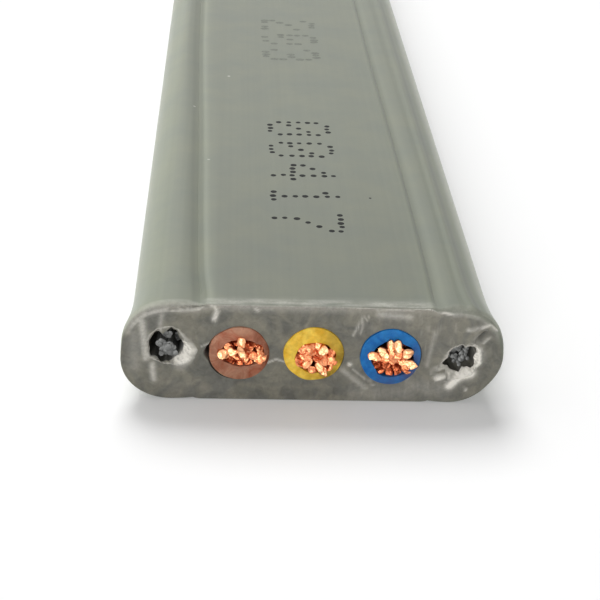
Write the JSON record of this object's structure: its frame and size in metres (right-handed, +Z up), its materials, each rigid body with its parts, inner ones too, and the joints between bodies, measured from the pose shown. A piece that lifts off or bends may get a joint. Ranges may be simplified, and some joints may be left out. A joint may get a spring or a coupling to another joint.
{
  "type": "flat elevator cable",
  "caption": "Cut length of flat elevator travelling cable: a grey grooved sheath round insulated copper cores laid side by side, with a steel rope in each round edge rib.",
  "frame": {"origin": "middle of the cable's underside", "axes": "+Y along the cable, away from the cut end with the torn rope sockets; +Z up through the thickness; +X across the width"},
  "size_m": [0.0194, 0.13, 0.0058],
  "materials": {
    "sheath_grey": "satin PVC",
    "insulation_brown": "satin PVC",
    "insulation_yellow": "satin PVC",
    "insulation_blue": "satin PVC",
    "copper": "bare drawn copper",
    "rope_steel": "dull galvanised wire"
  },
  "bodies": {
    "root": {"sheath": "sheath_grey", "brown_insulation": "insulation_brown", "yellow_insulation": "insulation_yellow", "blue_insulation": "insulation_blue", "brown_centre_wire": "copper", "brown_inner_wires": "copper", "brown_outer_wires": "copper", "yellow_centre_wire": "copper", "yellow_inner_wires": "copper", "yellow_outer_wires": "copper", "blue_centre_wire": "copper", "blue_inner_wires": "copper", "blue_outer_wires": "copper", "left_rope_core_strand": "rope_steel", "left_rope_strand_1": "rope_steel", "left_rope_strand_2": "rope_steel", "left_rope_strand_3": "rope_steel", "left_rope_strand_4": "rope_steel", "left_rope_strand_5": "rope_steel", "left_rope_strand_6": "rope_steel", "right_rope_core_strand": "rope_steel", "right_rope_strand_1": "rope_steel", "right_rope_strand_2": "rope_steel", "right_rope_strand_3": "rope_steel", "right_rope_strand_4": "rope_steel", "right_rope_strand_5": "rope_steel", "right_rope_strand_6": "rope_steel"}
  },
  "joints": []
}
